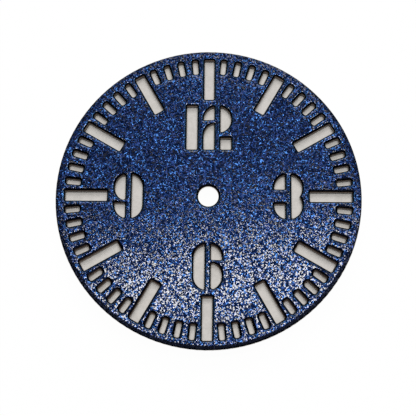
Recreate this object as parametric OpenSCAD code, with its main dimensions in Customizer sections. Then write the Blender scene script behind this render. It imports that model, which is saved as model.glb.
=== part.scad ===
// Two-layer watch dial. The upper plate, under its blue coat, is cut through at every hour
// bar, minute slot and numeral, and the pale luminous layer of the lower plate shows there.
// Frame: origin on the centre hole's axis, on the back face of the lower plate,
// +Z out of the face, +Y to twelve o'clock, millimetres.

/* [Upper plate] */
// Diameter of the dial over its upper plate
dial_d = 28.5; // [28:0.1:34]
// Thickness of the upper plate
upper_t = 0.4; // [0.24:0.01:0.6]
// Diameter of the centre hole for the hand arbors
hole_d = 1.9; // [1.4:0.05:2.4]
// Thickness of the blue grained coat on the upper plate
coat_t = 0.18; // [0.17:0.01:0.2]
// Radius of the coat's rolled edge at the rim
rim_round_r = 0.15; // [0.05:0.01:0.16]

/* [Lower plate] */
// Step by which the lower plate is smaller than the upper one, all round
lower_step = 0.25; // [0.1:0.05:0.4]
// Thickness of the lower plate
lower_t = 0.5; // [0.35:0.01:0.6]
// Thickness of the pale luminous layer on the lower plate
lume_t = 0.06; // [0.04:0.01:0.15]
// Distance that the luminous layer and the film stay back from the lower plate's rim
lume_margin = 0.1; // [0.05:0.05:0.3]
// Step by which the lower plate's centre hole is wider than the upper one's, all round
lower_hole_step = 0.2; // [0.1:0.05:0.5]

/* [Bonding film] */
// Thickness of the bonding film between the two plates
film_t = 0.03; // [0.02:0.01:0.06]
// Distance that the film stays back from every cut-out
film_gap = 0.06; // [0.04:0.01:0.1]

/* [Hour bars] */
// Distance from the outer end of an hour bar to the rim
bar_rim_gap = 0.88; // [0.6:0.01:1.3]
// Length of an hour bar along the radius
bar_l = 3.92; // [2:0.02:4]
// Width of an hour bar
bar_w = 0.92; // [0.6:0.02:1.1]
// Corner radius of an hour bar
bar_corner_r = 0.1; // [0.05:0.01:0.25]

/* [Minute slots] */
// Distance from the outer end of a minute slot to the rim
slot_rim_gap = 0.88; // [0.6:0.01:1.3]
// Length of a minute slot along the radius
slot_l = 1.33; // [0.7:0.01:1.4]
// Width of a minute slot
slot_w = 0.49; // [0.4:0.01:0.56]
// Corner radius of a minute slot
slot_corner_r = 0.17; // [0.05:0.01:0.19]

/* [Numerals] */
// Radius of the round strokes of the numerals
num_r = 1.3; // [1.2:0.01:1.35]
// Distance of each round stroke's centre from the middle of its numeral
num_c = 0.82; // [0.81:0.01:0.86]
// Width of the bridges that hold the islands of a numeral
bridge_w = 0.6; // [0.45:0.01:0.65]
// Corner radius of the numeral cut-outs
num_corner_r = 0.11; // [0.05:0.01:0.13]
// Corner radius at the inner end of the bowl of the 6 and of the 9
nine_corner_r = 0.2; // [0.1:0.01:0.25]
// Height above its middle at which the hook of the 2 is cut flat
two_hook_y = 0.76; // [0.73:0.01:0.83]
// Length of the foot of the 2 along its base
two_foot_h = 1.1; // [0.8:0.05:1.3]
// Height above its middle at which each hook of the 3 is cut flat
three_hook_y = 0.71; // [0.62:0.01:0.71]
// Depth of the flat that blunts the point of the 3 at its waist
three_waist_fill = 0.06; // [0.03:0.01:0.09]
// Height above its middle at which the open hook of the 6 and of the 9 is cut flat
six_hook_y = 0.67; // [0.59:0.01:0.71]
// Distance from the 12 and from the 6 to the hour bar beyond
upright_gap = 0.67; // [0.5:0.01:0.9]
// Distance from the 3 and from the 9 to the hour bar beyond
side_gap = 0.705; // [0.5:0.005:0.9]

/* [Dial feet] */
// Diameter of a dial foot
foot_d = 0.7; // [0.5:0.05:1]
// Length of a dial foot below the lower plate
foot_l = 1.6; // [1.2:0.1:2.5]
// Step by which a foot's base flange is wider than its pin, all round
flange_step = 0.2; // [0.1:0.05:0.4]
// Thickness of a foot's base flange
flange_t = 0.2; // [0.1:0.05:0.4]
// Distance from a foot's axis to the rim of the lower plate
foot_rim_gap = 1.6; // [1:0.1:3]
// Clock angle of the first foot, from twelve o'clock
foot_angle_a = 141; // [120:1:160]
// Clock angle of the second foot, from twelve o'clock
foot_angle_b = 321; // [300:1:340]
// Width of the solder bead round a foot's flange
solder_w = 0.25; // [0.15:0.05:0.4]
// Step by which the solder bead is lower than the flange
solder_step = 0.04; // [0.02:0.01:0.06]
// Height of the chamfer at a foot's tip
foot_chamfer = 0.1; // [0.05:0.05:0.15]

/* [Hidden] */
$fn = 96;
HOURS = 12;
MINUTES = 60;
through = 1;
BEAD_EDGE = 0.02;
hole_r = hole_d / 2;
dial_r = dial_d / 2;
lower_r = dial_r - lower_step;
film_r = lower_r - lume_margin;
lower_hole_r = hole_r + lower_hole_step;
film_z = lower_t + lume_t;
upper_z = film_z + film_t;
coat_z = upper_z + upper_t;
face_z = coat_z + coat_t;
bar_outer_r = dial_r - bar_rim_gap;
bar_inner_r = bar_outer_r - bar_l;
slot_outer_r = dial_r - slot_rim_gap;
foot_r = lower_r - foot_rim_gap;
pin_r = foot_d / 2;
flange_r = pin_r + flange_step;
solder_h = flange_t - solder_step;
bead_hollow_r = min(solder_w, solder_h) - BEAD_EDGE;
num_h = num_r + num_c;
stroke_w = num_r - bridge_w / 2;
twelve_w = stroke_w + bridge_w + 2 * num_r;
num_y = bar_inner_r - upright_gap - num_h;
num_x = bar_inner_r - side_gap - num_r;
waist_x = sqrt(num_r * num_r - num_c * num_c) + three_waist_fill;
waist_h = 3 * three_waist_fill;

// Clock direction of an angle: 0 is twelve o'clock and 90 is three o'clock.
module clock(angle) {
    rotate([0, 0, -angle]) children();
}

// The point at distance r from c in direction a.
function polar(c, r, a) = [c[0] + r * cos(a), c[1] + r * sin(a)];

// Rounds corners of a flat shape. Each corner is [fillet centre, first normal, second normal].
module softened(corners, r) {
    difference() {
        children();
        for (c = corners) {
            polygon([
                c[0],
                polar(c[0], 1.6 * r, c[1]),
                polar(c[0], 3 * r, (c[1] + c[2]) / 2),
                polar(c[0], 1.6 * r, c[2])
            ]);
        }
    }
    for (c = corners) translate(c[0]) circle(r);
}

module round_box(x0, y0, x1, y1, r) {
    corners = [
        [[x1 - r, y1 - r], 0, 90],
        [[x0 + r, y1 - r], 90, 180],
        [[x0 + r, y0 + r], 180, 270],
        [[x1 - r, y0 + r], 270, 360]
    ];
    softened(corners, r) translate([x0, y0]) square([x1 - x0, y1 - y0]);
}

// Fillet where the bridge side at x = b meets the round stroke of radius sr centred at
// height cy, above that centre.
function top_corner(b, cy, sr, r) =
    let (
        dx = b + r,
        dy = sqrt(pow(sr - r, 2) - dx * dx)
    )
    [[dx, cy + dy], atan2(dy, dx), 180];

// The same below the centre.
function low_corner(b, cy, sr, r) =
    let (
        dx = b + r,
        dy = sqrt(pow(sr - r, 2) - dx * dx)
    )
    [[dx, cy - dy], 180, 360 - atan2(dy, dx)];

// Fillet where a flat cut at height y meets the round stroke from below.
function flat_corner(cy, y, sr, r) =
    let (
        dy = y + r - cy,
        dx = sqrt(pow(sr - r, 2) - dy * dy)
    )
    [[dx, y + r], -90, atan2(dy, dx)];

// The part of a shape to the right of x = b and above y.
module keep_right(b, y) {
    intersection() {
        children();
        translate([b, y]) square([2 * num_h, 4 * num_h]);
    }
}

// Round stroke with its full height, to the right of the bridge.
module stroke(cy, g, r) {
    b = bridge_w / 2 - g;
    sr = num_r + g;
    softened([top_corner(b, cy, sr, r + g), low_corner(b, cy, sr, r + g)], r + g)
        keep_right(b, -2 * num_h) translate([0, cy]) circle(sr);
}

// Upper end of a round stroke, cut flat below.
module hook(y, g) {
    b = bridge_w / 2 - g;
    sr = num_r + g;
    r = num_corner_r + g;
    corners = [
        top_corner(b, num_c, sr, r),
        [[b + r, y - g + r], 180, 270],
        flat_corner(num_c, y - g, sr, r)
    ];
    softened(corners, r) keep_right(b, y - g) translate([0, num_c]) circle(sr);
}

// Long side of the 3, the 6 and the 9: two round strokes, one over the other.
module long_side(g) {
    b = bridge_w / 2 - g;
    sr = num_r + g;
    r = num_corner_r + g;
    softened([top_corner(b, num_c, sr, r), low_corner(b, -num_c, sr, r)], r)
        keep_right(b, -2 * num_h) {
            translate([0, num_c]) circle(sr);
            translate([0, -num_c]) circle(sr);
            children();
        }
}

// Leg of the 2: the lower round stroke, run straight down to the base.
module leg(g) {
    b = bridge_w / 2 - g;
    sr = num_r + g;
    r = num_corner_r + g;
    corners = [
        top_corner(b, -num_c, sr, r),
        [[b + r, r - num_h - g], 180, 270],
        [[sr - r, r - num_h - g], 270, 360]
    ];
    softened(corners, r) keep_right(b, -num_h - g) {
        translate([0, -num_c]) circle(sr);
        translate([0, -num_h - g]) square([sr, num_h + g - num_c]);
    }
}

module numeral_1(g) {
    w = stroke_w / 2 + g;
    round_box(-w, -num_h - g, w, num_h + g, num_corner_r + g);
}

module numeral_2(g) {
    b = bridge_w / 2 - g;
    base = -num_h - g;
    mirror([1, 0]) hook(two_hook_y, g);
    mirror([1, 0]) leg(g);
    stroke(num_c, g, num_corner_r);
    round_box(b, base, num_r + g, two_foot_h - num_h + g, num_corner_r + g);
}

module numeral_3(g) {
    mirror([1, 0]) hook(three_hook_y, g);
    mirror([1, 0]) mirror([0, 1]) hook(three_hook_y, g);
    long_side(g) translate([0, -waist_h]) square([waist_x + g, 2 * waist_h]);
}

module numeral_9(g) {
    mirror([1, 0]) stroke(num_c, g, nine_corner_r);
    mirror([1, 0]) mirror([0, 1]) hook(six_hook_y, g);
    long_side(g) translate([0, -num_c]) square([num_r + g, 2 * num_c]);
}

// All cut-outs of the upper plate, each grown by g all round.
module cutouts(g) {
    for (k = [1:HOURS]) {
        clock(k * 360 / HOURS)
            round_box(-bar_w / 2 - g, bar_inner_r - g,
                bar_w / 2 + g, bar_outer_r + g, bar_corner_r + g);
    }
    for (k = [1:MINUTES]) {
        if (k % (MINUTES / HOURS) != 0) {
            clock(k * 360 / MINUTES)
                round_box(-slot_w / 2 - g, slot_outer_r - slot_l - g,
                    slot_w / 2 + g, slot_outer_r + g, slot_corner_r + g);
        }
    }
    translate([(stroke_w - twelve_w) / 2, num_y]) numeral_1(g);
    translate([twelve_w / 2 - num_r, num_y]) numeral_2(g);
    translate([num_x, 0]) numeral_3(g);
    translate([0, -num_y]) rotate([0, 0, 180]) numeral_9(g);
    translate([-num_x, 0]) numeral_9(g);
}

// Round layer with a centre hole, from height z.
module disc(r, inner, z, t) {
    translate([0, 0, z]) difference() {
        cylinder(h = t, r = r);
        translate([0, 0, -through]) cylinder(h = t + 2 * through, r = inner);
    }
}

// Takes the centre hole and every cut-out, grown by g, out of what it is given.
module cut_through(inner, g) {
    difference() {
        children();
        translate([0, 0, -through]) cylinder(h = face_z + 2 * through, r = inner);
        translate([0, 0, -through]) linear_extrude(height = face_z + 2 * through) cutouts(g);
    }
}

module lower_plate() {
    color("goldenrod") disc(lower_r, lower_hole_r, 0, lower_t);
}

module luminous_layer() {
    color("gainsboro") disc(film_r, lower_hole_r, lower_t, lume_t);
}

module bonding_film() {
    color("lightyellow") cut_through(lower_hole_r, film_gap)
        translate([0, 0, film_z]) cylinder(h = film_t, r = film_r);
}

module upper_plate() {
    color("darkgoldenrod") cut_through(hole_r, 0)
        translate([0, 0, upper_z]) cylinder(h = upper_t, r = dial_r);
}

module blue_coat() {
    color("midnightblue") cut_through(hole_r, 0)
        translate([0, 0, coat_z]) rotate_extrude() {
            square([dial_r - rim_round_r, coat_t]);
            square([dial_r, coat_t - rim_round_r]);
            intersection() {
                translate([dial_r - rim_round_r, coat_t - rim_round_r]) circle(rim_round_r);
                square([dial_r, coat_t]);
            }
        }
}

module dial_foot(angle) {
    color("peru") clock(angle) translate([0, foot_r, -foot_l]) {
        cylinder(h = foot_chamfer, r1 = pin_r - foot_chamfer, r2 = pin_r);
        translate([0, 0, foot_chamfer]) cylinder(h = foot_l - foot_chamfer, r = pin_r);
        translate([0, 0, foot_l - flange_t]) cylinder(h = flange_t, r = flange_r);
    }
}

// Bead with a hollow flank, from the back of the lower plate down the flange.
module solder(angle) {
    color("silver") clock(angle) translate([0, foot_r, 0]) rotate_extrude() {
        difference() {
            translate([flange_r, -solder_h]) square([solder_w, solder_h]);
            translate([flange_r + solder_w, -solder_h]) circle(bead_hollow_r);
        }
    }
}

lower_plate();
luminous_layer();
bonding_film();
upper_plate();
blue_coat();
dial_foot(foot_angle_a);  // dial_foot_lower_right
dial_foot(foot_angle_b);  // dial_foot_upper_left
solder(foot_angle_a);  // solder_lower_right
solder(foot_angle_b);  // solder_upper_left
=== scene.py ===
"""Two-layer watch dial, dressed over its CAD frame: frosted blue coat, cut-through
upper plate, pale luminous layer, turned lower plate, dial feet and solder."""

import math

import bmesh
import bpy
from bpy.props import FloatProperty, FloatVectorProperty, IntProperty, PointerProperty
from mathutils import Matrix, Vector
from mathutils.kdtree import KDTree


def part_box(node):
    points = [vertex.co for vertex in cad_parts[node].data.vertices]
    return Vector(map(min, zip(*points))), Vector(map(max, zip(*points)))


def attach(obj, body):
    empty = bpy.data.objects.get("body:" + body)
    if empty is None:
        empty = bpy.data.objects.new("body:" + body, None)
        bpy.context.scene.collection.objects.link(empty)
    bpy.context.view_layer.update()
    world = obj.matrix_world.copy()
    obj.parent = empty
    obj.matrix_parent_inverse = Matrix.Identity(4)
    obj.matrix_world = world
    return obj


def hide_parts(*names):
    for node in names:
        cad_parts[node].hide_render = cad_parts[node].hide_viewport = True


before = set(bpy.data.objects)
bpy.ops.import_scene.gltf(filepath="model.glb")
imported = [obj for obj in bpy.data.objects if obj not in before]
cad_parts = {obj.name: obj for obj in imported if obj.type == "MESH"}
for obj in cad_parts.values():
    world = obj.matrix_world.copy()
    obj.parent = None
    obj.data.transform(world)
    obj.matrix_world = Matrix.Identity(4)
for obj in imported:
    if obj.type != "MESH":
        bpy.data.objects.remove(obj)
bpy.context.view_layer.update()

bl_info = {
    "name": "Watch dial",
    "version": (1, 0, 0),
    "blender": (4, 5, 0),
    "location": "3D View > Sidebar > Dial",
    "description": "Dresses the CAD frame of a two-layer watch dial",
    "category": "Object",
}

MM = 0.001
FACE_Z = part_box("blue_coat")[1].z
WALL_TOP_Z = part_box("upper_plate")[1].z
WALL_LOW_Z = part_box("upper_plate")[0].z
PLATE_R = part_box("upper_plate")[1].x
FOOT_TIP_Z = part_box("dial_foot_lower_right")[0].z
WHITE = (1.0, 1.0, 1.0, 1.0)


# Sizes and colours that a user would change


class DialCoatSettings(bpy.types.PropertyGroup):
    rim_width: FloatProperty(
        name="Rim width",
        description="Width over which the coat rounds off into each cut-out",
        default=0.30 * MM,
        unit="LENGTH",
    )
    rim_drop: FloatProperty(
        name="Rim drop",
        description="Depth over which the coat rounds off into each cut-out",
        default=0.165 * MM,
        unit="LENGTH",
    )
    rim_steps: IntProperty(
        name="Rim steps",
        description="Number of faces across the rounded rim",
        default=6,
        min=2,
        max=8,
    )
    flake_scale: FloatProperty(
        name="Flake scale",
        description="Flakes per metre of the coat",
        default=8400.0,
    )
    deep: FloatVectorProperty(
        name="Deep blue",
        description="Colour of the flakes and the lacquer in their dark places",
        default=(0.0010, 0.0025, 0.010),
        subtype="COLOR",
    )
    pigment: FloatVectorProperty(
        name="Pigment blue",
        description="Colour of the lacquer between the flakes",
        default=(0.014, 0.050, 0.255),
        subtype="COLOR",
    )
    middle: FloatVectorProperty(
        name="Middle blue",
        description="Colour of most flakes",
        default=(0.0052, 0.0145, 0.055),
        subtype="COLOR",
    )
    bright: FloatVectorProperty(
        name="Bright blue",
        description="Colour of the brightest flakes",
        default=(0.031, 0.094, 0.25),
        subtype="COLOR",
    )
    violet: FloatVectorProperty(
        name="Violet",
        description="Colour of the few violet flakes",
        default=(0.016, 0.022, 0.062),
        subtype="COLOR",
    )
    # Painted shade: the black painted on the rims and along the dial's edge
    rim_painted_shade: FloatVectorProperty(
        name="Rim black",
        description="Colour of the thick lacquer on the rims",
        default=(0.0012, 0.0015, 0.003),
        subtype="COLOR",
    )
    # Painted highlight: the thin blue line painted where a rim starts to turn down
    rim_painted_highlight: FloatVectorProperty(
        name="Rim blue",
        description="Colour of the thin line where a rim starts to turn down",
        default=(0.04, 0.10, 0.20),
        subtype="COLOR",
    )
    # Painted glint: the brown painted at the foot of rims that face six
    rim_painted_glint: FloatVectorProperty(
        name="Rim brown",
        description="Colour of the thin lacquer at the foot of a rim",
        default=(0.20, 0.14, 0.11),
        subtype="COLOR",
    )


class DialPlateSettings(bpy.types.PropertyGroup):
    brass: FloatVectorProperty(
        name="Brass",
        description="Colour of clean brass",
        default=(0.22, 0.16, 0.11),
        subtype="COLOR",
    )
    tarnish: FloatVectorProperty(
        name="Tarnish",
        description="Colour of tarnished brass",
        default=(0.06, 0.042, 0.03),
        subtype="COLOR",
    )
    # Partly painted shade: this dark lacquer paints the walls of the cut-outs dark
    lacquer: FloatVectorProperty(
        name="Lacquer",
        description="Colour of the dark lacquer on the walls of the cut-outs",
        default=(0.004, 0.004, 0.006),
        subtype="COLOR",
    )
    plating: FloatVectorProperty(
        name="Plating",
        description="Colour of the plated outer edge and centre hole",
        default=(0.93, 0.92, 0.90),
        subtype="COLOR",
    )
    plating_dull: FloatVectorProperty(
        name="Dull plating",
        description="Colour of the plating in the low places of its grain",
        default=(0.80, 0.79, 0.77),
        subtype="COLOR",
    )
    gleam: FloatVectorProperty(
        name="Gleam",
        description="Colour of the lower plate's bright turned marks",
        default=(0.74, 0.53, 0.27),
        subtype="COLOR",
    )
    cloud: FloatVectorProperty(
        name="Cloud",
        description="Colour of the soft clouds on the lower plate",
        default=(0.42, 0.27, 0.12),
        subtype="COLOR",
    )
    edge_break: FloatProperty(
        name="Edge break",
        description="Width of the small bevel on the lower plate's edges",
        default=0.03 * MM,
        unit="LENGTH",
    )


class DialLumeSettings(bpy.types.PropertyGroup):
    pale: FloatVectorProperty(
        name="Pale",
        description="Colour of the luminous layer",
        default=(0.527, 0.503, 0.477),
        subtype="COLOR",
    )
    shade: FloatVectorProperty(
        name="Shade",
        description="Colour of the luminous layer's small hollows",
        default=(0.467, 0.448, 0.422),
        subtype="COLOR",
    )
    film: FloatVectorProperty(
        name="Film",
        description="Colour of the bonding film",
        default=(0.50, 0.44, 0.30),
        subtype="COLOR",
    )
    film_shade: FloatVectorProperty(
        name="Film shade",
        description="Colour of the bonding film's cloudy places",
        default=(0.30, 0.24, 0.13),
        subtype="COLOR",
    )


class DialFeetSettings(bpy.types.PropertyGroup):
    copper: FloatVectorProperty(
        name="Copper",
        description="Colour of the dial feet",
        default=(0.72, 0.36, 0.22),
        subtype="COLOR",
    )
    copper_bright: FloatVectorProperty(
        name="Bright copper",
        description="Colour of the bright lines along the feet",
        default=(0.80, 0.45, 0.30),
        subtype="COLOR",
    )
    copper_dull: FloatVectorProperty(
        name="Dull copper",
        description="Colour of the dull patches on the feet",
        default=(0.36, 0.15, 0.08),
        subtype="COLOR",
    )
    tin: FloatVectorProperty(
        name="Tin",
        description="Colour of the solder",
        default=(0.55, 0.55, 0.54),
        subtype="COLOR",
    )
    tin_bright: FloatVectorProperty(
        name="Bright tin",
        description="Colour of the solder in the high places of its grain",
        default=(0.72, 0.72, 0.70),
        subtype="COLOR",
    )
    flux: FloatVectorProperty(
        name="Flux",
        description="Colour of the flux stains",
        default=(0.30, 0.22, 0.12),
        subtype="COLOR",
    )
    steps: IntProperty(
        name="Steps",
        description="Number of faces round a foot and its solder",
        default=48,
        min=24,
        max=128,
    )


class DialStageSettings(bpy.types.PropertyGroup):
    lens: FloatProperty(
        name="Lens",
        description="Focal length of the camera, in millimetres",
        default=87.17,
    )
    distance: FloatProperty(
        name="Distance",
        description="Distance from the camera to its aim",
        default=93.383 * MM,
        unit="LENGTH",
    )
    tilt: FloatProperty(
        name="Tilt",
        description="Angle between the camera and the dial's axis",
        default=math.radians(12.555),
        subtype="ANGLE",
    )
    turn: FloatProperty(
        name="Turn",
        description="Angle by which the camera stands to the right of six o'clock",
        default=math.radians(4.692),
        subtype="ANGLE",
    )
    roll: FloatProperty(
        name="Roll",
        description="Turn of the camera about its own axis",
        default=math.radians(0.562),
        subtype="ANGLE",
    )
    aim: FloatVectorProperty(
        name="Aim",
        description="Point of the dial's face in the middle of the picture",
        default=(-0.0134 * MM, -1.1291 * MM),
        size=2,
        subtype="XYZ",
    )
    key_size: FloatProperty(
        name="Key size",
        description="Side of the square lamp beyond twelve o'clock",
        default=0.22,
        unit="LENGTH",
    )
    key_tilt: FloatProperty(
        name="Key tilt",
        description="Angle of that lamp from the dial's axis towards twelve",
        default=math.radians(38.0),
        subtype="ANGLE",
    )
    key_radiance: FloatProperty(
        name="Key radiance",
        description="Brightness of that lamp's face, where 1 is white",
        default=5.4,
    )
    strip_size: FloatVectorProperty(
        name="Strip size",
        description="Width and depth of the lamp strip over the dial",
        default=(0.26, 0.036),
        size=2,
        unit="LENGTH",
    )
    strip_tilt: FloatProperty(
        name="Strip tilt",
        description="Angle of the strip from the dial's axis towards twelve",
        default=math.radians(6.9),
        subtype="ANGLE",
    )
    strip_side: FloatProperty(
        name="Strip side",
        description="Angle of the strip from the dial's axis towards three",
        default=math.radians(3.0),
        subtype="ANGLE",
    )
    strip_turn: FloatProperty(
        name="Strip turn",
        description="Angle by which the strip's end at three is turned towards twelve",
        default=math.radians(6.0),
        subtype="ANGLE",
    )
    strip_radiance: FloatProperty(
        name="Strip radiance",
        description="Brightness of the strip's face, where 1 is white",
        default=25.0,
    )
    front_size: FloatProperty(
        name="Front size",
        description="Side of the square lamp over the camera",
        default=0.08,
        unit="LENGTH",
    )
    front_tilt: FloatProperty(
        name="Front tilt",
        description="Angle of that lamp from the dial's axis towards six",
        default=math.radians(12.0),
        subtype="ANGLE",
    )
    front_side: FloatProperty(
        name="Front side",
        description="Angle of that lamp from the dial's axis towards three",
        default=math.radians(5.0),
        subtype="ANGLE",
    )
    front_radiance: FloatProperty(
        name="Front radiance",
        description="Brightness of that lamp's face, where 1 is white",
        default=18.0,
    )
    lamp_distance: FloatProperty(
        name="Lamp distance",
        description="Distance from each lamp to the dial",
        default=0.4,
        unit="LENGTH",
    )
    dome: FloatProperty(
        name="Dome",
        description="Brightness of the room round the dial, where 1 is white",
        default=0.2,
    )


# Shader helpers


def feed(tree, node, **sockets):
    """Links or sets a node's inputs, by name with _ for a space, or by number as i0.
    None leaves an input as it is."""
    for name, value in sockets.items():
        if value is None:
            continue
        numbered = name[0] == "i" and name[1:].isdigit()
        socket = node.inputs[int(name[1:]) if numbered else name.replace("_", " ")]
        if isinstance(value, bpy.types.NodeSocket):
            tree.links.new(value, socket)
        else:
            socket.default_value = value
    return node


def put(tree, kind, **sockets):
    """Adds a node and feeds its inputs."""
    return feed(tree, tree.nodes.new(kind), **sockets)


def blend_colours(tree, factor, low, high):
    """Mixes two colours by a factor. A Mix node's colour sockets are 6 and 7, and 2."""
    mix = tree.nodes.new("ShaderNodeMix")
    mix.data_type = "RGBA"
    return feed(tree, mix, i0=factor, i6=low, i7=high).outputs[2]


def between(tree, value, low, high, to_low=0.0, to_high=1.0):
    """Maps low..high to to_low..to_high, smoothly and held at both ends."""
    ramp = tree.nodes.new("ShaderNodeMapRange")
    ramp.interpolation_type = "SMOOTHSTEP"
    feed(tree, ramp, i0=value, i1=low, i2=high, i3=to_low, i4=to_high)
    return ramp.outputs[0]


def maths(tree, operation, first, second=0.0):
    """One Math node on two values, each a number or a socket."""
    step = tree.nodes.new("ShaderNodeMath")
    step.operation = operation
    return feed(tree, step, i0=first, i1=second).outputs[0]


def times(tree, first, second):
    """The product of two values."""
    return maths(tree, "MULTIPLY", first, second)


def rest(tree, mask):
    """What a mask leaves of one."""
    return maths(tree, "SUBTRACT", 1.0, mask)


def vectors(tree, operation, first, second=None, scale=None):
    """One Vector Math node on two vectors, or on a vector and a scale."""
    step = tree.nodes.new("ShaderNodeVectorMath")
    step.operation = operation
    return feed(tree, step, i0=first, i1=second, i3=scale).outputs[0]


def axes(tree, vector):
    """The three numbers of a vector, as sockets."""
    return put(tree, "ShaderNodeSeparateXYZ", Vector=vector).outputs


def radius_of(tree, place):
    """Distance of a place from the dial's axis."""
    flat = vectors(tree, "MULTIPLY", place, (1.0, 1.0, 0.0))
    return vectors(tree, "LENGTH", flat).node.outputs["Value"]


def noise(tree, place, scale, detail, roughness=0.5, distortion=0.0):
    """The number that a noise texture has at a place."""
    made = put(
        tree,
        "ShaderNodeTexNoise",
        Vector=place,
        Scale=scale,
        Detail=detail,
        Roughness=roughness,
        Distortion=distortion,
    )
    return made.outputs[0]


def bump(tree, height, strength, distance):
    """Normal of a surface that a height raises by up to a distance."""
    made = put(
        tree, "ShaderNodeBump", Height=height, Strength=strength, Distance=distance
    )
    return made.outputs[0]


def new_group(name, inputs, outputs):
    """Makes a shader node group with named sockets and returns it with its two ends.
    An input without a default and the output Normal are vectors, the rest numbers."""
    group = bpy.data.node_groups.new(name, "ShaderNodeTree")
    for title, default in inputs.items():
        kind = "NodeSocketVector" if default is None else "NodeSocketFloat"
        socket = group.interface.new_socket(title, in_out="INPUT", socket_type=kind)
        if default is not None:
            socket.default_value = default
    for title in outputs:
        kind = "NodeSocketVector" if title == "Normal" else "NodeSocketFloat"
        group.interface.new_socket(title, in_out="OUTPUT", socket_type=kind)
    return group, group.nodes.new("NodeGroupInput"), group.nodes.new("NodeGroupOutput")


def use_group(tree, name, **values):
    """Places a shader node group in a material and feeds its inputs."""
    made = tree.nodes.new("ShaderNodeGroup")
    made.node_tree = bpy.data.node_groups[name]
    return feed(tree, made, **values)


def new_material(name):
    """Makes a node material. Returns it, its tree, shader and Object coordinates."""
    material = bpy.data.materials.new(name)
    material.use_nodes = True
    tree = material.node_tree
    shader = tree.nodes["Principled BSDF"]
    place = tree.nodes.new("ShaderNodeTexCoord").outputs["Object"]
    return material, tree, shader, place


def rgba(colour):
    return (*colour, 1.0)


# Shader node groups


def flakes_group():
    """Frosted flakes: metal flakes in lacquer, as a normal, a metal mask and two random
    tones. Facet is how far flakes tilt, Ripple how far the lacquer between them does,
    and Gaps about the share of the ground that is lacquer."""
    group, start, end = new_group(
        "Frosted flakes",
        {"Vector": None, "Scale": 8400.0, "Facet": 0.8, "Ripple": 0.35, "Gaps": 0.23},
        ("Normal", "Metal", "Tone", "Pick"),
    )
    place, scale = start.outputs["Vector"], start.outputs["Scale"]
    cells = put(
        group, "ShaderNodeTexVoronoi", Vector=place, Scale=scale, Randomness=1.0
    )
    draws = put(group, "ShaderNodeSeparateColor", Color=cells.outputs["Color"]).outputs
    above = maths(group, "SUBTRACT", draws["Blue"], start.outputs["Gaps"])
    metal = between(group, above, 0.0, 0.08)
    worms = noise(group, place, scale, detail=1.0, roughness=0.6).node.outputs["Color"]
    facet = vectors(group, "SUBTRACT", worms, (0.5, 0.5, 0.5))
    swing = put(
        group,
        "ShaderNodeMapRange",
        Value=metal,
        To_Min=start.outputs["Ripple"],
        To_Max=start.outputs["Facet"],
    )
    facet = vectors(group, "SCALE", facet, scale=swing.outputs[0])
    lie = put(group, "ShaderNodeNewGeometry").outputs["Normal"]
    lie = vectors(group, "NORMALIZE", vectors(group, "ADD", lie, facet))
    wide = times(group, scale, 0.45)
    lines = noise(group, place, wide, detail=0.6, distortion=0.6)
    ridge = maths(group, "ABSOLUTE", maths(group, "SUBTRACT", lines, 0.5))
    tone = between(group, ridge, 0.07, 0.015)
    feed(group, end, Normal=lie, Metal=metal, Tone=tone, Pick=draws["Red"])


def level_group():
    """Edge shade: Mask is 1 on level ground and 0 where the surface turns down at a
    rim. South is 1 on slopes that face six o'clock, and Lean has them count as
    steeper."""
    group, start, end = new_group(
        "Edge shade", {"Steep": 0.88, "Level": 0.955, "Lean": 0.45}, ("Mask", "South")
    )
    _, north, up = axes(group, put(group, "ShaderNodeNewGeometry").outputs["Normal"])
    south = maths(group, "MINIMUM", north, 0.0)
    up = maths(group, "ADD", up, times(group, south, start.outputs["Lean"]))
    mask = between(group, up, start.outputs["Steep"], start.outputs["Level"])
    feed(group, end, Mask=mask, South=between(group, south, -0.15, -0.45))


def grain_group():
    """Fine grain: a height, and a tone with two sizes of grain."""
    group, start, end = new_group(
        "Fine grain", {"Vector": None, "Scale": 4000.0}, ("Height", "Tone")
    )
    place, scale = start.outputs["Vector"], start.outputs["Scale"]
    fine = noise(group, place, scale, detail=4.0, roughness=0.65)
    wide = noise(group, place, times(group, scale, 0.22), detail=3.0, roughness=0.6)
    both = maths(group, "ADD", fine, wide)
    feed(group, end, Height=fine, Tone=between(group, both, 0.75, 1.25))


def turning_group():
    """Turned marks: fine rings about the dial's axis, as a height and a tone."""
    group, start, end = new_group(
        "Turned marks", {"Vector": None, "Scale": 9000.0}, ("Height", "Tone")
    )
    ring = put(
        group, "ShaderNodeCombineXYZ", X=radius_of(group, start.outputs["Vector"])
    )
    scale = start.outputs["Scale"]
    marks = noise(group, ring.outputs[0], scale, detail=3.0, roughness=0.7)
    feed(group, end, Height=marks, Tone=between(group, marks, 0.3, 0.7))


# Materials. The painted shade and glint on the rims, and the bare walls, widen toward
# six o'clock, until SIX_Y.

SIX_Y = -8.0 * MM


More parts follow.
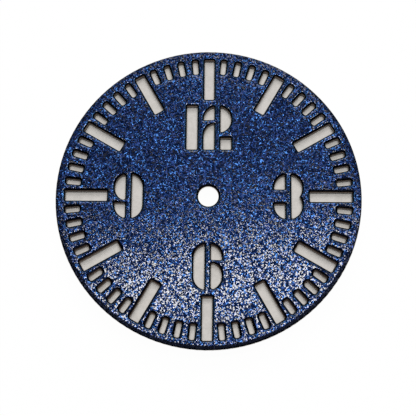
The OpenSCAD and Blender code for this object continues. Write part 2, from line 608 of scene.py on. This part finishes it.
def coat_material(look, plating):
    """Blue metal flakes in lacquer. The rims have a painted highlight in a thin blue
    line, painted shade in black and a painted brown glint at their foot. The outer side
    is plated near six."""
    material, tree, shader, place = new_material("blue_flake_lacquer")
    _, north, height = axes(tree, place)
    calm = use_group(tree, "Edge shade", Steep=0.965, Level=0.999, Lean=0.0)
    calm = calm.outputs["Mask"]
    flakes = use_group(
        tree,
        "Frosted flakes",
        Vector=place,
        Scale=look.flake_scale,
        Facet=between(tree, calm, 0.0, 1.0, 0.3, 0.72),
        Ripple=0.12,
        Gaps=between(tree, north, -9.0 * MM, -13.0 * MM, 0.245, 0.21),
    )
    metal, tone, pick = (flakes.outputs[name] for name in ("Metal", "Tone", "Pick"))

    # Painted shade: black rims, and a black band along the dial's edge, both wider
    # toward six and fading toward twelve
    lean = between(tree, north, 8.0 * MM, SIX_Y, 0.45, 2.4)
    shade = use_group(tree, "Edge shade", Lean=lean)
    band = between(tree, north, 0.0, SIX_Y, 0.24 * MM, 0.38 * MM)
    inner = maths(tree, "ADD", radius_of(tree, place), band)
    inner = between(tree, inner, PLATE_R, PLATE_R - 0.12 * MM)
    thin = between(tree, north, -7.0 * MM, 1.0 * MM, 0.0, 0.6)
    level = times(tree, shade.outputs["Mask"], maths(tree, "MAXIMUM", inner, thin))

    # Painted glint: brown at the foot of rims that face six, and plating low on the
    # outer side
    deep = maths(tree, "SUBTRACT", FACE_Z, height)
    foot = between(tree, north, 1.0 * MM, SIX_Y, 0.09 * MM, 0.055 * MM)
    foot = between(tree, maths(tree, "SUBTRACT", deep, foot), -0.02 * MM, 0.0)
    brown = times(tree, foot, times(tree, shade.outputs["South"], inner))
    side = between(tree, height, FACE_Z - 0.10 * MM, FACE_Z - 0.12 * MM)
    side = times(tree, side, between(tree, north, -2.0 * MM, SIX_Y))
    plated = times(tree, side, rest(tree, inner))

    # Painted highlight: a blue line where a rim turns down, stronger on the side that
    # faces six
    slope = axes(tree, put(tree, "ShaderNodeNewGeometry").outputs["Normal"])["Y"]
    line = between(tree, slope, -0.03, 0.1, 0.8, 0.25)
    line = times(tree, line, between(tree, tone, 0.0, 1.0, 0.5, 1.2))
    line = times(tree, rest(tree, calm), line)

    # About a quarter of the flakes are bright, and one in twelve violet
    colour = blend_colours(tree, tone, rgba(look.deep), rgba(look.middle))
    bright = times(tree, between(tree, pick, 0.72, 0.8), tone)
    colour = blend_colours(tree, bright, colour, rgba(look.bright))
    violet = times(tree, between(tree, pick, 0.10, 0.06), tone)
    colour = blend_colours(tree, violet, colour, rgba(look.violet))
    lacquer = blend_colours(tree, tone, rgba(look.deep), rgba(look.pigment))
    colour = blend_colours(tree, metal, lacquer, colour)
    # Painted highlight, painted shade and painted glint go over the flakes
    colour = blend_colours(tree, line, colour, rgba(look.rim_painted_highlight))
    colour = blend_colours(tree, level, rgba(look.rim_painted_shade), colour)
    colour = blend_colours(tree, brown, colour, rgba(look.rim_painted_glint))
    colour = blend_colours(tree, plated, colour, rgba(plating))
    shiny = maths(tree, "MAXIMUM", metal, rest(tree, level))
    feed(
        tree,
        shader,
        Base_Color=colour,
        Metallic=maths(tree, "MAXIMUM", shiny, line),
        Roughness=between(tree, metal, 0.0, 1.0, 0.12, 0.3),
        Normal=flakes.outputs["Normal"],
    )
    return material


def wall_material(look):
    """Cut brass walls under dark lacquer that is partly painted shade, with a bare band
    below their top edge that grows toward six. The centre hole and the outer edge are
    plated."""
    material, tree, shader, place = new_material("lacquered_brass_painted_shade")
    _, north, height = axes(tree, place)
    tone = use_group(tree, "Fine grain", Vector=place, Scale=5200.0).outputs["Tone"]
    tall = vectors(tree, "MULTIPLY", place, (1.0, 1.0, 0.15))
    streak = noise(tree, tall, scale=6500.0, detail=3.0, roughness=0.65)

    # Height on the wall, from 0 at its foot to 1 at its top, made uneven by the streaks
    span = WALL_TOP_Z - WALL_LOW_Z
    rise = maths(tree, "DIVIDE", maths(tree, "SUBTRACT", height, WALL_LOW_Z), span)
    rise = maths(tree, "ADD", rise, times(tree, streak, 0.3))
    # Painted shade: the wall is dark lacquer below a bare band that starts lower toward
    # six, so the walls are darker toward twelve
    start = between(tree, north, 1.0 * MM, SIX_Y, 0.75, 0.15)
    bare = times(
        tree,
        between(tree, maths(tree, "SUBTRACT", rise, start), 0.0, 0.2),
        between(tree, rise, 1.25, 1.1),
    )
    radius = radius_of(tree, place)
    cut = times(
        tree,
        between(tree, radius, 1.2 * MM, 1.3 * MM),
        between(tree, radius, PLATE_R - 0.1 * MM, PLATE_R - 0.2 * MM),
    )
    lacquer_and_shade = times(tree, rest(tree, bare), cut)
    brass = blend_colours(tree, tone, rgba(look.tarnish), rgba(look.brass))
    plated = blend_colours(tree, tone, rgba(look.plating_dull), rgba(look.plating))
    brass = blend_colours(tree, cut, plated, brass)
    rough = between(tree, tone, 0.0, 1.0, 0.1, 0.22)
    feed(
        tree,
        shader,
        Base_Color=blend_colours(tree, lacquer_and_shade, brass, rgba(look.lacquer)),
        Metallic=between(tree, lacquer_and_shade, 0.0, 1.0, 1.0, 0.0),
        Roughness=maths(tree, "ADD", times(tree, cut, 0.2), rough),
        Normal=bump(tree, streak, strength=times(tree, cut, 0.6), distance=0.02 * MM),
    )
    return material


def grained_material(name, scale, colours, roughness, strength, distance):
    """Matt material with a fine grain. Both colours and roughness values are those of
    the grain's low and high places."""
    material, tree, shader, place = new_material(name)
    grain = use_group(tree, "Fine grain", Vector=place, Scale=scale)
    tone = grain.outputs["Tone"]
    feed(
        tree,
        shader,
        Base_Color=blend_colours(tree, tone, *(rgba(colour) for colour in colours)),
        Roughness=between(tree, tone, 0.0, 1.0, *roughness),
        Normal=bump(tree, grain.outputs["Height"], strength, distance),
    )
    return material


def back_material(look):
    """Turned brass of the lower plate, tarnished in soft clouds and small specks."""
    material, tree, shader, place = new_material("turned_brass")
    marks = use_group(tree, "Turned marks", Vector=place, Scale=9000.0)
    tone = marks.outputs["Tone"]
    cloud = noise(tree, place, scale=260.0, detail=5.0, roughness=0.62, distortion=0.6)
    cloud = between(tree, cloud, 0.42, 0.66)
    speck = between(tree, noise(tree, place, scale=2600.0, detail=3.0), 0.66, 0.74)
    colour = blend_colours(tree, tone, rgba(look.brass), rgba(look.gleam))
    colour = blend_colours(tree, times(tree, cloud, 0.55), colour, rgba(look.cloud))
    colour = blend_colours(tree, times(tree, speck, 0.7), colour, rgba(look.tarnish))
    rough = between(tree, tone, 0.0, 1.0, 0.28, 0.42)
    feed(
        tree,
        shader,
        Base_Color=colour,
        Metallic=1.0,
        Roughness=maths(tree, "ADD", rough, times(tree, cloud, 0.14)),
        Normal=bump(tree, marks.outputs["Height"], strength=0.55, distance=0.01 * MM),
    )
    return material


def foot_material(look):
    """Drawn copper wire with faint length-wise lines and dull patches."""
    material, tree, shader, place = new_material("drawn_copper")
    tall = vectors(tree, "MULTIPLY", place, (1.0, 1.0, 0.06))
    lines = noise(tree, tall, scale=14000.0, detail=2.0, roughness=0.6)
    patch = between(tree, noise(tree, place, scale=1800.0, detail=4.0), 0.45, 0.68)
    colour = between(tree, lines, 0.35, 0.65)
    colour = blend_colours(tree, colour, rgba(look.copper), rgba(look.copper_bright))
    dull = times(tree, patch, 0.7)
    feed(
        tree,
        shader,
        Base_Color=blend_colours(tree, dull, colour, rgba(look.copper_dull)),
        Metallic=1.0,
        Roughness=between(tree, patch, 0.0, 1.0, 0.24, 0.5),
        Normal=bump(tree, lines, strength=0.4, distance=0.01 * MM),
    )
    return material


def solder_material(look):
    """Dull tin solder with flux stains."""
    material, tree, shader, place = new_material("tin_solder")
    grain = use_group(tree, "Fine grain", Vector=place, Scale=3800.0)
    tone = grain.outputs["Tone"]
    flux = between(tree, noise(tree, place, scale=1500.0, detail=4.0), 0.52, 0.66)
    colour = blend_colours(tree, tone, rgba(look.tin), rgba(look.tin_bright))
    feed(
        tree,
        shader,
        Base_Color=blend_colours(tree, times(tree, flux, 0.6), colour, rgba(look.flux)),
        Metallic=between(tree, flux, 0.0, 1.0, 1.0, 0.6),
        Roughness=between(tree, tone, 0.0, 1.0, 0.45, 0.3),
        Normal=bump(tree, grain.outputs["Height"], strength=0.7, distance=0.03 * MM),
    )
    return material


def paint(piece, material):
    """Gives every slot of a piece the same material."""
    mesh = piece.data
    if not mesh.materials:
        mesh.materials.append(material)
    for number in range(len(mesh.materials)):
        mesh.materials[number] = material


def finish_of(node, material):
    """Gives a carried-over CAD node a better material in each of its slots."""
    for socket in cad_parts[node].material_slots:
        socket.material = material


# Modelling helpers. Shapes are worked at a thousand times their size, so that a
# millimetre is one Blender unit, and are brought back to metres when finished.

WELD = 0.0008  # vertices closer than this become one
SLACK = 0.002  # heights closer than this are level
LEVEL = 0.99  # least upward part of a level face's normal
OUTLINE_STEP = 0.15  # longest edge that the outline of a cut-out keeps
OUTER_BAND = 0.3  # width along the dial's edge that has no cut-outs
NEARBY = 2.3  # rim widths within which another outline can crowd a rim
OPPOSED = 0.5  # cosine below which two rims lean different ways
SHARE = 0.9  # part of its half of a narrow land that a rim takes
TAPER = 0.6  # most change of a rim's width per millimetre of outline
FLANGE = 0.2  # thickness of a foot's flange, and its width round the pin
BEAD_EDGE = 0.2  # width of a solder bead's uneven edge


def select_only(piece):
    bpy.ops.object.select_all(action="DESELECT")
    piece.select_set(True)
    bpy.context.view_layer.objects.active = piece


def copy_of(node, title):
    """A merged copy of a CAD node's mesh, in millimetres, open in edit mode."""
    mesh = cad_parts[node].data.copy()
    mesh.name = title
    mesh.transform(Matrix.Scale(1 / MM, 4))
    piece = bpy.data.objects.new(title, mesh)
    bpy.context.scene.collection.objects.link(piece)
    select_only(piece)
    bpy.ops.object.mode_set(mode="EDIT")
    bpy.ops.mesh.select_all(action="SELECT")
    bpy.ops.mesh.customdata_custom_splitnormals_clear()
    bpy.ops.mesh.remove_doubles(threshold=WELD)
    bpy.ops.mesh.select_all(action="DESELECT")
    return piece


def pick_edges(piece, wanted):
    """Selects the edges of the mesh in edit mode for which wanted(edge) is true."""
    bpy.ops.mesh.select_mode(type="EDGE")
    mesh = bmesh.from_edit_mesh(piece.data)
    mesh.edges.ensure_lookup_table()
    found = 0
    for edge in mesh.edges:
        edge.select_set(bool(wanted(edge)))
        found += edge.select
    mesh.select_flush_mode()
    bmesh.update_edit_mesh(piece.data)
    if not found:
        raise RuntimeError(f"{piece.name} has no edge of the kind to be bevelled")


def finished(piece, node, smooth=35.0):
    """Smooths a piece, brings it to metres and has it stand for its CAD node."""
    if piece.mode == "EDIT":
        bpy.ops.object.mode_set(mode="OBJECT")
    select_only(piece)
    bpy.ops.object.shade_smooth_by_angle(angle=math.radians(smooth))
    weigh = piece.modifiers.new("Weigh", "WEIGHTED_NORMAL")
    weigh.keep_sharp = True
    bpy.ops.object.modifier_apply(modifier=weigh.name)
    piece.data.transform(Matrix.Scale(MM, 4))
    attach(piece, "root")
    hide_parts(node)


def rim_edge(z):
    """Test for an edge at height z, in millimetres, between level ground and a wall."""

    def test(edge):
        if len(edge.link_faces) != 2:
            return False
        if any(abs(vert.co.z - z) > SLACK for vert in edge.verts):
            return False
        wall, ground = sorted(abs(face.normal.z) for face in edge.link_faces)
        return wall < 0.5 and ground > LEVEL

    return test


def open_top(mesh, z, inside):
    """Takes off the level faces at height z, and splits the long edges that they leave
    open within the radius inside. Returns the open outlines as lists of vertices."""
    top = [
        face
        for face in mesh.faces
        if face.normal.z > LEVEL
        and all(abs(vert.co.z - z) < SLACK for vert in face.verts)
    ]
    bmesh.ops.delete(mesh, geom=top, context="FACES")
    rims = {edge for edge in mesh.edges if edge.is_boundary}
    rims = {edge for edge in rims if edge.verts[0].co.to_2d().length < inside}
    for edge in list(rims):
        for left in range(math.ceil(edge.calc_length() / OUTLINE_STEP), 1, -1):
            more, _ = bmesh.utils.edge_split(edge, edge.verts[0], 1 / left)
            rims.add(more)
            edge = max((edge, more), key=lambda part: part.calc_length())
    outlines = []
    while rims:
        edge = rims.pop()
        first, vert = edge.verts
        outline = [first]
        while vert is not first:
            outline.append(vert)
            edge = next(e for e in vert.link_edges if e in rims)
            rims.remove(edge)
            vert = edge.other_vert(vert)
        outlines.append(outline)
    return outlines


def land_side(before, vert, after):
    """Direction from an outline's vertex into the land, mitred between its edges."""
    arms = []
    for a, b in ((before, vert), (vert, after)):
        wall = next(edge for edge in vert.link_edges if edge.other_vert(vert) in (a, b))
        wall = wall.link_faces[0].normal
        arms.append(Vector((-wall.x, -wall.y, 0)).normalized())
    return (arms[0] + arms[1]) / (1 + arms[0].dot(arms[1]))


def rim_layers(mesh):
    """The layers of each rim vertex's reach into the land and its place at the wall."""
    return [mesh.verts.layers.float_vector[name] for name in ("lean", "foot")]


def rim_widths(places, sides, tree, start, count, width):
    """Width of the rim at each vertex of one outline: less where another rim is near,
    and changing little by little along the outline."""
    widths = []
    for number in range(start, start + count):
        room = width
        for place, other, reach in tree.find_range(places[number], NEARBY * width):
            ahead = (place - places[number]).dot(sides[number])
            if ahead > 0 and sides[number].dot(sides[other]) < OPPOSED:
                room = min(room, SHARE * reach * reach / (2 * ahead))
        widths.append(room)
    for number in list(range(count)) * 2 + list(range(count))[::-1] * 2:
        for near in (number - 1, (number + 1) % count):
            apart = (places[start + near % count] - places[start + number]).length
            widths[number] = min(widths[number], widths[near] + TAPER * apart)
    return widths


def round_rims(piece, z, inside, width, drop, steps):
    """Rounds the rims at height z off over a width and a depth, all in millimetres. On
    a land too narrow for two full rims, each rim keeps just under half of it."""
    mesh = bmesh.from_edit_mesh(piece.data)
    for name in ("lean", "foot"):
        mesh.verts.layers.float_vector.new(name)
    lean, foot = rim_layers(mesh)
    outlines = open_top(mesh, z, inside)
    mesh.normal_update()
    verts, sides = [], []
    for outline in outlines:
        ring = zip(outline[-1:] + outline[:-1], outline, outline[1:] + outline[:1])
        sides += [land_side(*three) for three in ring]
        verts += outline
    places = [vert.co.copy() for vert in verts]
    tree = KDTree(len(verts))
    for number, place in enumerate(places):
        tree.insert(place, number)
    tree.balance()
    start = 0
    for outline in outlines:
        widths = rim_widths(places, sides, tree, start, len(outline), width)
        for number, room in enumerate(widths, start):
            verts[number][foot] = places[number]
            verts[number][lean] = sides[number] * room
        start += len(outline)

    # The rims are extruded ring by ring, from the wall up onto the land
    bpy.ops.mesh.select_all(action="DESELECT")
    bpy.ops.mesh.select_mode(type="EDGE")
    for vert in verts:
        for edge in vert.link_edges:
            if edge.is_boundary:
                edge.select_set(True)
    for step in range(steps + 1):
        if step:
            bpy.ops.mesh.extrude_edges_move()
            mesh = bmesh.from_edit_mesh(piece.data)
            lean, foot = rim_layers(mesh)
        angle = math.radians(90 * step / steps)
        for vert in mesh.verts:
            if vert.select:
                down = drop * vert[lean].length / width * (1 - math.sin(angle))
                vert.co = vert[foot] + vert[lean] * (1 - math.cos(angle))
                vert.co.z = z - min(down, drop)
        bmesh.update_edit_mesh(piece.data)
    for name in ("lean", "foot"):
        layers = mesh.verts.layers.float_vector
        layers.remove(layers[name])

    # The land between the rims is filled in
    for edge in mesh.edges:
        if edge.is_boundary:
            edge.select_set(True)
    bmesh.update_edit_mesh(piece.data)
    bpy.ops.mesh.fill(use_beauty=False)
    mesh = bmesh.from_edit_mesh(piece.data)
    if any(edge.is_boundary for edge in mesh.edges):
        raise RuntimeError(f"{piece.name} stays open after its top is filled")


def turned(title, centre, profile, steps):
    """Lathes a solid about an upright axis: a ring at the profile's first point is
    extruded and resized from point to point, and both ends are closed."""
    x, y = centre
    radius, z = profile[0]
    bpy.ops.object.select_all(action="DESELECT")
    bpy.ops.mesh.primitive_circle_add(
        vertices=steps, radius=radius, location=(x, y, z), fill_type="NOTHING"
    )
    piece = bpy.context.object
    piece.name = piece.data.name = title
    bpy.ops.object.transform_apply(location=True, rotation=True, scale=True)
    bpy.ops.object.mode_set(mode="EDIT")
    bpy.ops.mesh.select_all(action="SELECT")
    bpy.ops.mesh.edge_face_add()
    bpy.ops.mesh.select_mode(type="FACE")
    for next_radius, next_z in profile[1:]:
        bpy.ops.mesh.extrude_region_move(
            TRANSFORM_OT_translate={"value": (0, 0, next_z - z)}
        )
        if next_radius != radius:
            rate = next_radius / radius
            bpy.ops.transform.resize(
                value=(rate, rate, 1), center_override=(x, y, next_z)
            )
        radius, z = next_radius, next_z
    bpy.ops.mesh.select_all(action="SELECT")
    return piece


# Operators


class DIAL_OT_coat(bpy.types.Operator):
    """Model the blue coat with rounded rims at each cut-out, and give it its flakes"""

    bl_idname = "dial.coat"
    bl_label = "Blue coat"

    def execute(self, context):
        look = context.scene.dial_coat
        piece = copy_of("blue_coat", "blue_coat_grained")
        inside = piece.dimensions.x / 2 - OUTER_BAND
        width, drop = look.rim_width / MM, look.rim_drop / MM
        round_rims(piece, FACE_Z / MM, inside, width, drop, look.rim_steps)
        finished(piece, "blue_coat", smooth=40.0)
        paint(piece, coat_material(look, context.scene.dial_plate.plating))
        return {"FINISHED"}


class DIAL_OT_upper_plate(bpy.types.Operator):
    """Finish the upper plate: cut brass walls under dark lacquer, partly painted shade
    """

    bl_idname = "dial.upper_plate"
    bl_label = "Upper plate"

    def execute(self, context):
        finish_of("upper_plate", wall_material(context.scene.dial_plate))
        return {"FINISHED"}


class DIAL_OT_lume(bpy.types.Operator):
    """Finish the luminous layer and the bonding film"""

    bl_idname = "dial.lume"
    bl_label = "Luminous layer and film"

    def execute(self, context):
        look = context.scene.dial_lume
        lume = grained_material(
            "luminous_paint",
            scale=5200.0,
            colours=(look.shade, look.pale),
            roughness=(0.92, 0.8),
            strength=0.5,
            distance=0.02 * MM,
        )
        film = grained_material(
            "bonding_film",
            scale=3000.0,
            colours=(look.film_shade, look.film),
            roughness=(0.5, 0.3),
            strength=0.3,
            distance=0.01 * MM,
        )
        finish_of("luminous_layer", lume)
        finish_of("bonding_film", film)
        return {"FINISHED"}


class DIAL_OT_lower_plate(bpy.types.Operator):
    """Model the lower plate with broken edges, and give it turned brass"""

    bl_idname = "dial.lower_plate"
    bl_label = "Lower plate"

    def execute(self, context):
        look = context.scene.dial_plate
        piece = copy_of("lower_plate", "lower_plate_turned")
        pick_edges(piece, rim_edge(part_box("lower_plate")[0].z / MM))
        bpy.ops.mesh.bevel(
            offset_type="OFFSET",
            offset=look.edge_break / MM,
            segments=2,
            affect="EDGES",
            clamp_overlap=False,
        )
        finished(piece, "lower_plate")
        paint(piece, back_material(look))
        return {"FINISHED"}


class DIAL_OT_feet(bpy.types.Operator):
    """Turn the two dial feet, with a fillet at the root and a rounded tip"""

    bl_idname = "dial.feet"
    bl_label = "Dial feet"

    def execute(self, context):
        look = context.scene.dial_feet
        material = foot_material(look)
        for node in ("dial_foot_lower_right", "dial_foot_upper_left"):
            low, high = (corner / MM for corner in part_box(node))
            centre = ((low.x + high.x) / 2, (low.y + high.y) / 2)
            wide = (high.x - low.x) / 2
            thin = wide - FLANGE
            profile = [
                # The flange, down to its rounded edge
                (wide, high.z),
                (wide, high.z - 0.16),
                (wide - 0.012, high.z - 0.188),
                (wide - 0.04, high.z - FLANGE),
                # The fillet at the pin's root
                (thin + 0.06, high.z - FLANGE),
                (thin + 0.02, high.z - 0.21),
                (thin + 0.004, high.z - 0.23),
                (thin, high.z - 0.26),
                # The pin's rounded tip
                (thin, low.z + 0.1),
                (thin - 0.02, low.z + 0.05),
                (thin - 0.06, low.z + 0.014),
                (thin - 0.1, low.z),
            ]
            piece = turned(node + "_turned", centre, profile, look.steps)
            bpy.ops.mesh.normals_make_consistent(inside=False)
            finished(piece, node)
            paint(piece, material)
        return {"FINISHED"}


class DIAL_OT_solder(bpy.types.Operator):
    """Model the solder bead round each foot's flange, with an uneven edge"""

    bl_idname = "dial.solder"
    bl_label = "Solder"

    def execute(self, context):
        material = solder_material(context.scene.dial_feet)
        for seed, node in enumerate(("solder_lower_right", "solder_upper_left")):
            piece = copy_of(node, node + "_bead")
            low, high = (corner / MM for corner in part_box(node))
            middle = (low + high) / 2
            wide = (high.x - low.x) / 2
            mesh = bmesh.from_edit_mesh(piece.data)
            for vert in mesh.verts:
                arm = Vector((vert.co.x - middle.x, vert.co.y - middle.y, 0))
                if arm.length < wide - BEAD_EDGE or abs(vert.co.z - high.z) < SLACK:
                    continue
                # Three waves round the bead, at a different turn on each bead
                angle = math.atan2(arm.y, arm.x) + seed
                wave = math.sin(3 * angle) + 0.6 * math.sin(5 * angle + 1.3)
                wave += 0.4 * math.sin(11 * angle + 0.4)
                vert.co -= arm.normalized() * (0.02 + 0.01 * wave)
            bmesh.update_edit_mesh(piece.data)
            finished(piece, node, smooth=50.0)
            paint(piece, material)
        return {"FINISHED"}


class DIAL_OT_stage(bpy.types.Operator):
    """Set up the white floor, the soft studio light and the camera"""

    bl_idname = "dial.stage"
    bl_label = "Stage"

    FLOOR_SIZE = 2.4  # metres
    FLOOR_WHITE = 0.97  # share of plain white in the floor as it is seen
    SENSOR_WIDTH = 36.0  # millimetres, for which the lens is given

    def execute(self, context):
        look = context.scene.dial_stage
        self.floor()
        self.room(context, look)
        square = (look.key_size, look.key_size)
        self.lamp(look, "key", (0, look.key_tilt, 0), square, look.key_radiance)
        place = (look.strip_side, look.strip_tilt, look.strip_turn)
        self.lamp(look, "strip", place, look.strip_size, look.strip_radiance)
        place = (look.front_side, -look.front_tilt, 0)
        square = (look.front_size, look.front_size)
        self.lamp(look, "front", place, square, look.front_radiance)
        self.camera(context, look)
        context.scene.view_settings.view_transform = "Standard"
        return {"FINISHED"}

    def floor(self):
        """Adds a floor that takes the dial's shadow and is otherwise seen as white."""
        bpy.ops.object.select_all(action="DESELECT")
        place = (0, 0, FOOT_TIP_Z)
        bpy.ops.mesh.primitive_plane_add(size=self.FLOOR_SIZE, location=place)
        plane = bpy.context.object
        plane.name = "floor"
        bpy.ops.object.transform_apply(location=True, rotation=True, scale=True)
        material, tree, shader, _ = new_material("white_floor")
        feed(tree, shader, Base_Color=(0.8, 0.8, 0.8, 1.0), Roughness=0.9)
        glow = put(tree, "ShaderNodeEmission", Color=WHITE, Strength=1.0)
        path = put(tree, "ShaderNodeLightPath").outputs
        seen = path["Is Camera Ray"]
        for kind in ("Is Glossy Ray", "Is Transmission Ray"):
            seen = maths(tree, "MAXIMUM", seen, path[kind])
        share = times(tree, seen, self.FLOOR_WHITE)
        self.mixed(tree, share, shader, glow, "Material Output")
        plane.data.materials.append(material)

    def mixed(self, tree, share, usual, seen, output):
        """Sends the mix of two shaders to an output, by the share of the second."""
        mix = tree.nodes.new("ShaderNodeMixShader")
        feed(tree, mix, i0=share, i1=usual.outputs[0], i2=seen.outputs[0])
        feed(tree, tree.nodes[output], Surface=mix.outputs[0])

    def room(self, context, look):
        """Adds a dim room that the camera sees as white."""
        world = bpy.data.worlds.new("studio")
        context.scene.world = world
        world.use_nodes = True
        tree = world.node_tree
        dim = feed(tree, tree.nodes["Background"], Color=WHITE, Strength=look.dome)
        bright = put(tree, "ShaderNodeBackground", Color=WHITE, Strength=1.0)
        seen = put(tree, "ShaderNodeLightPath").outputs["Is Camera Ray"]
        self.mixed(tree, seen, dim, bright, "World Output")

    def lamp(self, look, name, place, size, radiance):
        """Adds a lamp that faces the dial. Its place is its angles from the dial's axis
        towards three and twelve, and its roll."""
        east, north, roll = place
        back = Vector((math.tan(east), math.tan(north), 1.0)).normalized()
        bpy.ops.object.select_all(action="DESELECT")
        bpy.ops.object.light_add(type="AREA", location=back * look.lamp_distance)
        lamp = bpy.context.object
        lamp.name = name
        lamp.rotation_mode = "QUATERNION"
        lamp.rotation_quaternion = self.facing(back, roll)
        lamp.data.shape = "RECTANGLE"
        lamp.data.size, lamp.data.size_y = size
        lamp.data.energy = radiance * math.pi * size[0] * size[1]

    def facing(self, back, roll):
        """Rotation whose back points along a direction, twelve up and then rolled."""
        right = Vector((0, 1, 0)).cross(back).normalized()
        up = back.cross(right)
        east = right * math.cos(roll) + up * math.sin(roll)
        north = up * math.cos(roll) - right * math.sin(roll)
        return Matrix((east, north, back)).transposed().to_quaternion()

    def camera(self, context, look):
        """Adds the camera at the photograph's angle."""
        tilt, turn = look.tilt, look.turn
        back = Vector(
            (
                math.sin(turn) * math.sin(tilt),
                -math.cos(turn) * math.sin(tilt),
                math.cos(tilt),
            )
        )
        bpy.ops.object.select_all(action="DESELECT")
        bpy.ops.object.camera_add()
        camera = bpy.context.object
        camera.name = "camera"
        camera.rotation_mode = "QUATERNION"
        camera.rotation_quaternion = self.facing(back, look.roll)
        camera.location = Vector((*look.aim, FACE_Z)) + back * look.distance
        camera.data.sensor_width = self.SENSOR_WIDTH
        camera.data.lens = look.lens
        camera.data.clip_start = 0.001
        camera.data.clip_end = 10.0
        context.scene.camera = camera


class DIAL_PT_panel(bpy.types.Panel):
    """The dial's pieces and their settings"""

    bl_idname = "DIAL_PT_panel"
    bl_label = "Watch dial"
    bl_space_type = "VIEW_3D"
    bl_region_type = "UI"
    bl_category = "Dial"

    def draw(self, context):
        for title, (_, operators) in SETTINGS.items():
            box = self.layout.box()
            settings = getattr(context.scene, title)
            for name in settings.__annotations__:
                box.prop(settings, name)
            for operator in operators:
                box.operator(operator)


# Each group of settings, with the operators that the panel lists under it
SETTINGS = {
    "dial_coat": (DialCoatSettings, ("dial.coat",)),
    "dial_plate": (DialPlateSettings, ("dial.upper_plate", "dial.lower_plate")),
    "dial_lume": (DialLumeSettings, ("dial.lume",)),
    "dial_feet": (DialFeetSettings, ("dial.feet", "dial.solder")),
    "dial_stage": (DialStageSettings, ("dial.stage",)),
}
OPERATORS = (
    DIAL_OT_coat,
    DIAL_OT_upper_plate,
    DIAL_OT_lume,
    DIAL_OT_lower_plate,
    DIAL_OT_feet,
    DIAL_OT_solder,
    DIAL_OT_stage,
)


def register():
    for title, (settings, _) in SETTINGS.items():
        bpy.utils.register_class(settings)
        setattr(bpy.types.Scene, title, PointerProperty(type=settings))
    for operator in OPERATORS:
        bpy.utils.register_class(operator)
    bpy.utils.register_class(DIAL_PT_panel)


def unregister():
    bpy.utils.unregister_class(DIAL_PT_panel)
    for operator in reversed(OPERATORS):
        bpy.utils.unregister_class(operator)
    for title, (settings, _) in reversed(SETTINGS.items()):
        delattr(bpy.types.Scene, title)
        bpy.utils.unregister_class(settings)


def main():
    register()
    for make_group in (flakes_group, level_group, grain_group, turning_group):
        make_group()
    bpy.ops.dial.coat()
    bpy.ops.dial.upper_plate()
    bpy.ops.dial.lume()
    bpy.ops.dial.lower_plate()
    bpy.ops.dial.feet()
    bpy.ops.dial.solder()
    bpy.ops.dial.stage()


if __name__ == "__main__":
    main()
